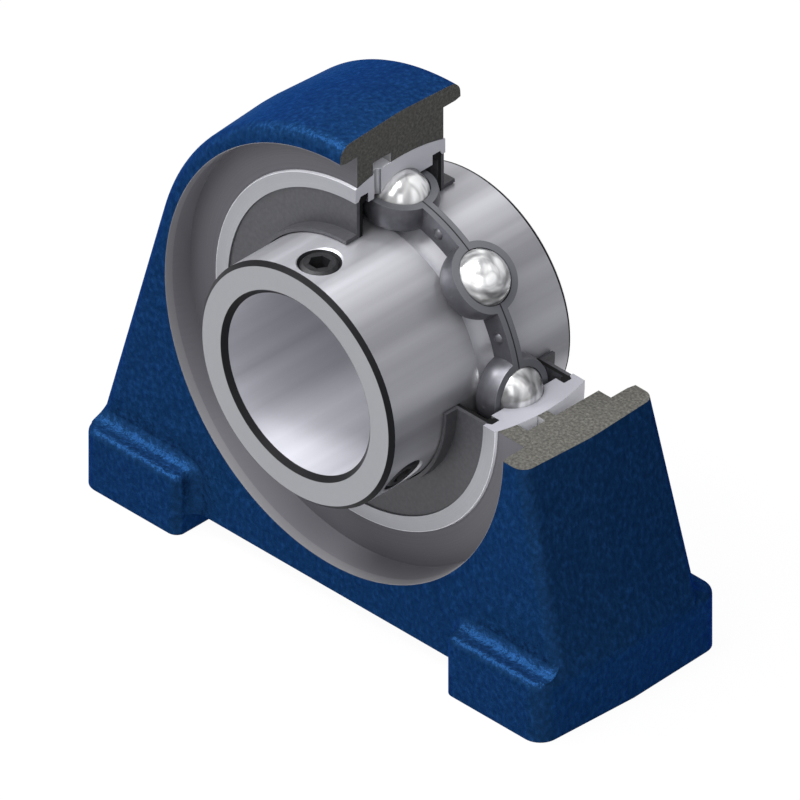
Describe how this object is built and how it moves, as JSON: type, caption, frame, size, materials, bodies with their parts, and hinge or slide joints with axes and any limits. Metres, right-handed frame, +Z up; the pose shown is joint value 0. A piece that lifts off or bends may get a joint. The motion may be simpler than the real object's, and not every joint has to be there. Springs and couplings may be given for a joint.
{
  "type": "pillow block bearing",
  "caption": "Sectioned pillow block bearing: short blue cast base with tapped feet, self-aligning insert ball bearing with set screws, a quarter cut away to show balls and cage.",
  "frame": {"origin": "bearing centre: the shaft axis at the middle of the housing and of the outer ring", "axes": "+X along the base towards the sectioned side, +Y along the shaft away from the set screws, +Z up from the base"},
  "size_m": [0.0988, 0.0413, 0.0827],
  "materials": {
    "housing_paint": "blue enamel over a sand-cast skin, machined bore, sawn section faces",
    "ring_steel": "ground and turned bearing steel",
    "ball_steel": "mirror polished",
    "cage_steel": "pressed grey sheet steel",
    "shield_steel": "dark satin sheet steel",
    "seal_rubber": "black nitrile rubber",
    "screw_steel": "black oxide"
  },
  "bodies": {
    "housing": {"housing": "housing_paint"},
    "outer_ring": {"outer_ring": "ring_steel", "shield_front": "shield_steel", "shield_back": "shield_steel", "seal_front": "seal_rubber", "seal_back": "seal_rubber"},
    "inner_ring": {"inner_ring": "ring_steel"},
    "cage": {"cage_front": "cage_steel", "cage_back": "cage_steel", "cage_rivets": "cage_steel"},
    "set_screw_top": {"set_screw_top": "screw_steel"},
    "set_screw_side": {"set_screw_side": "screw_steel"},
    "ball_1": {"ball_1": "ball_steel"},
    "ball_2": {"ball_2": "ball_steel"},
    "ball_3": {"ball_3": "ball_steel"},
    "ball_4": {"ball_4": "ball_steel"},
    "ball_5": {"ball_5": "ball_steel"},
    "ball_6": {"ball_6": "ball_steel"},
    "ball_7": {"ball_7": "ball_steel"},
    "ball_8": {"ball_8": "ball_steel"}
  },
  "joints": [
    {"name": "swivel", "type": "hinge", "parent": "housing", "child": "outer_ring", "pos_m": [0, 0, 0], "axis": [1, 0, 0], "range_deg": [-2, 2]},
    {"name": "inner_spin", "type": "hinge", "parent": "outer_ring", "child": "inner_ring", "pos_m": [0, 0, 0], "axis": [0, 1, 0], "continuous": true},
    {"name": "cage_spin", "type": "hinge", "parent": "outer_ring", "child": "cage", "pos_m": [0, 0, 0], "axis": [0, 1, 0], "continuous": true},
    {"name": "ball_1_spin", "type": "hinge", "parent": "cage", "child": "ball_1", "pos_m": [0.02355, 0, 0], "axis": [0, 1, 0], "continuous": true},
    {"name": "ball_2_spin", "type": "hinge", "parent": "cage", "child": "ball_2", "pos_m": [0.01665, 0, 0.01665], "axis": [0, 1, 0], "continuous": true},
    {"name": "ball_3_spin", "type": "hinge", "parent": "cage", "child": "ball_3", "pos_m": [0, 0, 0.02355], "axis": [0, 1, 0], "continuous": true},
    {"name": "ball_4_spin", "type": "hinge", "parent": "cage", "child": "ball_4", "pos_m": [-0.01665, 0, 0.01665], "axis": [0, 1, 0], "continuous": true},
    {"name": "ball_5_spin", "type": "hinge", "parent": "cage", "child": "ball_5", "pos_m": [-0.02355, 0, 0], "axis": [0, 1, 0], "continuous": true},
    {"name": "ball_6_spin", "type": "hinge", "parent": "cage", "child": "ball_6", "pos_m": [-0.01665, 0, -0.01665], "axis": [0, 1, 0], "continuous": true},
    {"name": "ball_7_spin", "type": "hinge", "parent": "cage", "child": "ball_7", "pos_m": [0, 0, -0.02355], "axis": [0, 1, 0], "continuous": true},
    {"name": "ball_8_spin", "type": "hinge", "parent": "cage", "child": "ball_8", "pos_m": [0.01665, 0, -0.01665], "axis": [0, 1, 0], "continuous": true},
    {"name": "set_screw_top_travel", "type": "slide", "parent": "inner_ring", "child": "set_screw_top", "axis": [0, 0, 1], "range_m": [-0.003, 0.003]},
    {"name": "set_screw_side_travel", "type": "slide", "parent": "inner_ring", "child": "set_screw_side", "axis": [0.866, 0, -0.5], "range_m": [-0.003, 0.003]}
  ],
  "couplings": [
    {"joint": "cage_spin", "follows": "inner_spin", "ratio": 0.39889},
    {"joint": "ball_1_spin", "follows": "inner_spin", "ratio": -2.3713},
    {"joint": "ball_2_spin", "follows": "inner_spin", "ratio": -2.3713},
    {"joint": "ball_3_spin", "follows": "inner_spin", "ratio": -2.3713},
    {"joint": "ball_4_spin", "follows": "inner_spin", "ratio": -2.3713},
    {"joint": "ball_5_spin", "follows": "inner_spin", "ratio": -2.3713},
    {"joint": "ball_6_spin", "follows": "inner_spin", "ratio": -2.3713},
    {"joint": "ball_7_spin", "follows": "inner_spin", "ratio": -2.3713},
    {"joint": "ball_8_spin", "follows": "inner_spin", "ratio": -2.3713}
  ]
}
